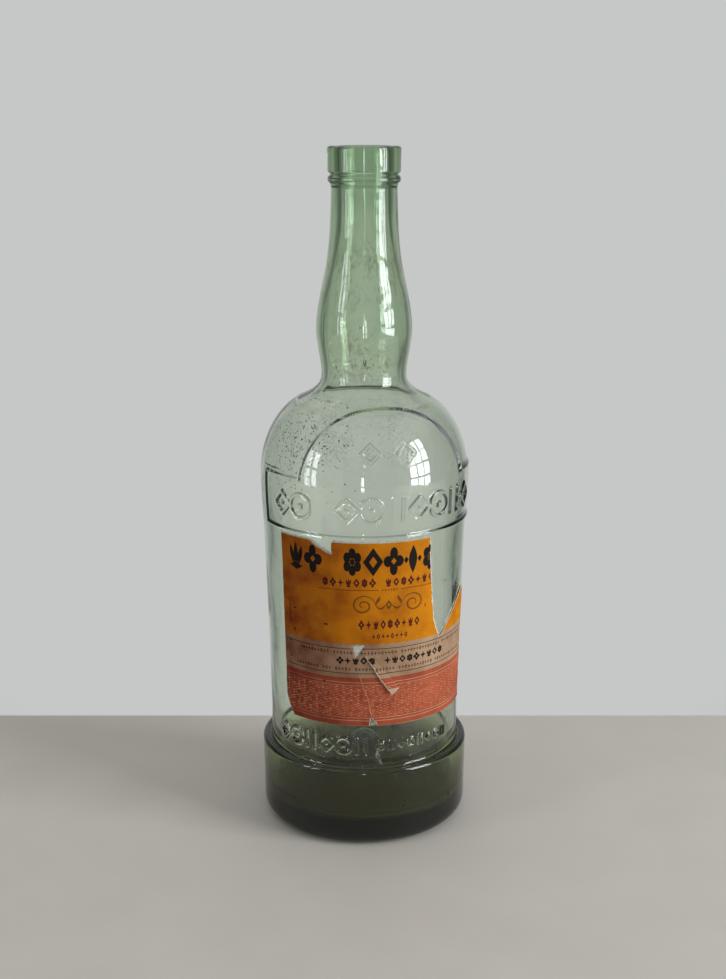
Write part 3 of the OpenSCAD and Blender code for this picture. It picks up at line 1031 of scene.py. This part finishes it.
def flap_lift(s, z):
    """The flap stands up along its tear and lies down on the sheet towards its root."""
    tear = to_segment(s, z, *FLAP[0], *FLAP[1])
    rise = math.exp(-((tear / 4.5) ** 2))
    fall = min(1, max(0, (90 - z) / 12))
    return sheet_lift(s, z) + PAPER_T + 0.06 + 1.25 * rise * fall


def paper(name, outline, holes, inked, shapes, lift, thickness, grid, material):
    """A closed thin sheet on the glass: outline less holes, its face printed with shapes where
    it lies inside the inked outline. All are polygons in mm round the glass and up it."""
    points, loops = [], []

    def loop(polygon):
        first = len(points)
        for start, end in zip(polygon, list(polygon[1:]) + [polygon[0]]):
            start, end = Vector(start), Vector(end)
            steps = max(1, math.ceil((end - start).length / grid))
            points.extend(start.lerp(end, i / steps) for i in range(steps))
        loops.append(list(range(first, len(points))))

    for polygon in [outline, inked] + holes + [s[0] for s in shapes]:
        loop(polygon)
    low_s, high_s = min(p[0] for p in outline), max(p[0] for p in outline)
    low_z, high_z = min(p[1] for p in outline), max(p[1] for p in outline)
    across, up = int((high_s - low_s) / grid), int((high_z - low_z) / grid)
    for i in range(across):
        for j in range(up):
            shift = 0.5 * (j % 2)
            points.append(Vector((low_s + (i + 0.3 + shift) * grid, low_z + (j + 0.5) * grid)))
    flat, _, cells, _, _, sources = delaunay_2d_cdt(points, [], loops, 0, 1e-5)
    first_hole, first_shape = 2, 2 + len(holes)
    kept, inks = [], []
    for cell, source in zip(cells, sources):
        if 0 not in source or any(first_hole <= k < first_shape for k in source):
            continue
        top = max(source)
        kept.append(cell)
        inks.append(shapes[top - first_shape][1] if top >= first_shape and 1 in source else CORE)
    used = sorted({k for cell in kept for k in cell})
    place = {k: n for n, k in enumerate(used)}
    count = len(used)
    vertices = []
    for side in (thickness, 0):
        for k in used:
            s, z = flat[k]
            azimuth = math.degrees(s / LABEL_R)
            r = wall_radius(z) - dent(azimuth, z) + lift(s, z) + side
            vertices.append(around(azimuth, r, z))
    faces = [tuple(place[k] for k in cell) for cell in kept]
    edges = dict.fromkeys((a, b) for face in faces for a, b in zip(face, face[1:] + face[:1]))
    rim = [(a, b) for a, b in edges if (b, a) not in edges]
    backs = [tuple(k + count for k in reversed(face)) for face in faces]
    sides = [(b, a, a + count, b + count) for a, b in rim]
    obj = mesh_piece(name, vertices, faces + backs + sides, material)
    layer = obj.data.color_attributes.new("print", "FLOAT_COLOR", "CORNER")
    colours = []
    for polygon in obj.data.polygons:
        ink = inks[polygon.index] if polygon.index < len(inks) else CORE
        colours += list(ink) * polygon.loop_total
    layer.data.foreach_set("color", colours)
    return obj


def make_label():
    stock = letterpress_label_paper()
    outline = rough(TORN_OUTLINE, TORN_SIDES, seed=1)
    inked = rough(TORN_OUTLINE, TORN_SIDES, shrink=0.26, seed=1)
    hole = rough(HOLE, {0, 1, 2}, amount=0.35, seed=3)
    sheet = paper("torn_label", outline, [hole], inked, label_print(), sheet_lift, PAPER_T * 0.6, 1.7, stock)
    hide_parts("label_sheet")
    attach(sheet, "root")

    flap_outline = rough(FLAP, {0, 1}, seed=6)
    flap_inked = rough(FLAP, {0, 1}, shrink=0.35, worn=0, seed=6)
    flap_print = label_print() + [(slab(-20, 60, 20, 73.4), BARE)]
    flap = paper(
        "lifted_flap", flap_outline, [], flap_inked, flap_print, flap_lift, PAPER_T * 0.6, 1.0, stock
    )
    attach(flap, "root")


def make_paste():
    outline = [
        (-LABEL_HALF - 0.5, LABEL_LOW + 8), (-46.5, LABEL_LOW), (LABEL_HALF + 0.5, LABEL_LOW),
        (LABEL_HALF + 0.5, 107), (46.0, 112), (30.4, 97.3), (26.6, 93.6), (23.1, 102),
        (19.4, LABEL_HIGH + 0.6), (-23.9, LABEL_HIGH + 0.6), (-24.8, 134.6),
        (-33.4, LABEL_HIGH + 0.6), (-LABEL_HALF - 0.5, LABEL_HIGH + 0.6),
    ]
    edge = rough(outline, set(range(13)), amount=0.3, step=1.0, seed=12)
    film = paper("paste_film", edge, [], edge, [], lambda s, z: -0.06, PASTE_T, 2.4, dried_paste())
    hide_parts("label_paste")
    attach(film, "root")


# ---- dried residue, and painted shade in and under the foot


def add_flake(vertices, faces, spread, azimuth, z, size):
    """An irregular crumb stuck on the inside of the wall."""
    sides = 8
    r = radius_at(INSIDE, z) + thinning(azimuth, z)
    first = len(vertices)
    turn = math.degrees(1 / r)
    for k in range(sides):
        q = 2 * math.pi * k / sides
        reach = size * spread.uniform(0.7, 1.1)
        place_z = z + reach * math.sin(q)
        base = radius_at(INSIDE, place_z) + thinning(azimuth, place_z)
        vertices.append(around(azimuth + turn * reach * math.cos(q), base + 0.05, place_z))
    vertices.append(around(azimuth, r - size * 0.25, z))
    vertices.append(around(azimuth, r + 0.08, z))
    for k in range(sides):
        n = (k + 1) % sides
        faces.append((first + n, first + k, first + sides))
        faces.append((first + k, first + n, first + sides + 1))


def make_residue():
    """Crumbs in the neck and on the left of the shoulder: gathered ones, then strays all round."""
    spread = random.Random(11)
    vertices, faces = [], []
    for count, azimuths, heights, low, high, sizes, strays, foot, top in (
        (170, (5, 32), (211, 7), 200, 262, (0.08, 0.28), 80, 205, 265),
        (420, (-56, 15), (178, 8), 160, 193, (0.1, 0.36), 220, 150, 192),
    ):
        for _ in range(count):
            azimuth = spread.gauss(*azimuths)
            z = min(high, max(low, spread.gauss(*heights)))
            add_flake(vertices, faces, spread, azimuth, z, spread.uniform(*sizes))
        for _ in range(strays):
            azimuth = spread.uniform(-180, 180)
            add_flake(vertices, faces, spread, azimuth, spread.uniform(foot, top), 0.12)
    crumbs = mesh_piece("dried_residue", vertices, faces, dried_residue())
    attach(crumbs, "root")


def thin_skin(name, path, place, tips, material):
    """A thin closed skin along a path of (r, z) that runs downwards or inwards. Its two faces
    lie at place(azimuth, r, z, off), and run to the axis at the heights tips, if any."""
    columns = [3 * i for i in range(120)]
    vertices, faces, rings = [], [], []
    for off, stretch in ((FILM_HALF, path), (-FILM_HALF, path[::-1])):
        for r, z in stretch:
            rings.append([(a, len(vertices) + k) for k, a in enumerate(columns)])
            vertices += [place(a, r, z, off) for a in columns]
    middle = len(path)
    for k, (low, high) in enumerate(zip(rings, rings[1:] + rings[:1])):
        if not tips or k != middle - 1:
            join_rings(faces, high, low)
    for tip, ring, side in zip(tips, rings[middle - 1 : middle + 1], (1, -1)):
        vertices.append((0, 0, tip))
        for k in range(120):
            corner = (ring[k][1], ring[(k + 1) % 120][1], len(vertices) - 1)
            faces.append(corner[::side])
    skin = mesh_piece(name, vertices, faces, material)
    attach(skin, "root")


def on_the_inside(azimuth, r, z, off):
    """A place off the inside of the glass, into it, on the wall or on the floor."""
    if r < FLOOR_R and z <= FLOOR_TIP_Z:
        return around(azimuth, r, z - off)
    return around(azimuth, inside_radius(azimuth, r, z) + off, z - (off if z < 14 else 0))


def inside_between(low, high):
    return [(r, z) for r, z in spaced(INSIDE, lambda r, z: 2.5) if low < z < high]


def make_stains_and_foot_shade():
    # painted shade: a dark olive film on the inside of the foot darkens it
    foot_shade = stain_and_shade_film("painted shade in the foot", "#403A08", "#6C601E", 5, 24, 0.6, 0.96, (-2, -1), (36, 18))
    tips = (FLOOR_TIP_Z, FLOOR_TIP_Z)
    thin_skin("foot_shade_film", inside_between(0, 42) + floor_path(), on_the_inside, tips, foot_shade)
    tide = stain_and_shade_film("dried tide mark", "#9A6C1C", "#C49648", 1.2, 7, 0.0, 0.3, (199, 208), (226, 212))
    thin_skin("tide_film", inside_between(199, 226), on_the_inside, (), tide)
    drip = stain_and_shade_film("dried drip", "#94702A", "#B89850", 1.2, 7, 0.0, 0.2, (226, 240), (268, 252))
    thin_skin("drip_film", inside_between(226.5, 268), on_the_inside, (), drip)
    dust = stain_and_shade_film("shoulder dust", "#4E4A40", "#827E72", 0.6, 15, 0.0, 0.22, (164, 182), (199, 192))
    thin_skin("dust_film", inside_between(164, 198.5), on_the_inside, (), dust)


def make_base_shade():
    """Painted shade on the underside of the push-up, up to where the bottle stands."""
    reach, steps = 34.5, 30
    path = [(reach * i / steps, push_up(reach * i / steps, PUNT_R, PUNT_DEPTH)) for i in range(steps, 0, -1)]
    tips = (PUNT_DEPTH - FILM_HALF, PUNT_DEPTH + FILM_HALF)
    under = lambda azimuth, r, z, off: around(azimuth, r, z - off)
    # painted shade: a near-black skin under the push-up
    thin_skin("painted_base_shade", path, under, tips, painted_base_shade())


scene.view_settings.view_transform = "Standard"
make_camera()
make_room()
window("right_window", 50, 12, 1.6, 3, 4, (0.20, 0.30), 0.055, 2.5)
window("left_window", -74, 8, 1.7, 2, 2, (0.17, 0.50), 0.09, 1.6)
window("far_window", CAMERA_AZIMUTH - 1, -6, 0.95, 1, 2, (0.04, 0.16), 0.02, 0.3)
make_floor()
make_glass()
make_label()
make_paste()
make_residue()
make_stains_and_foot_shade()
make_base_shade()
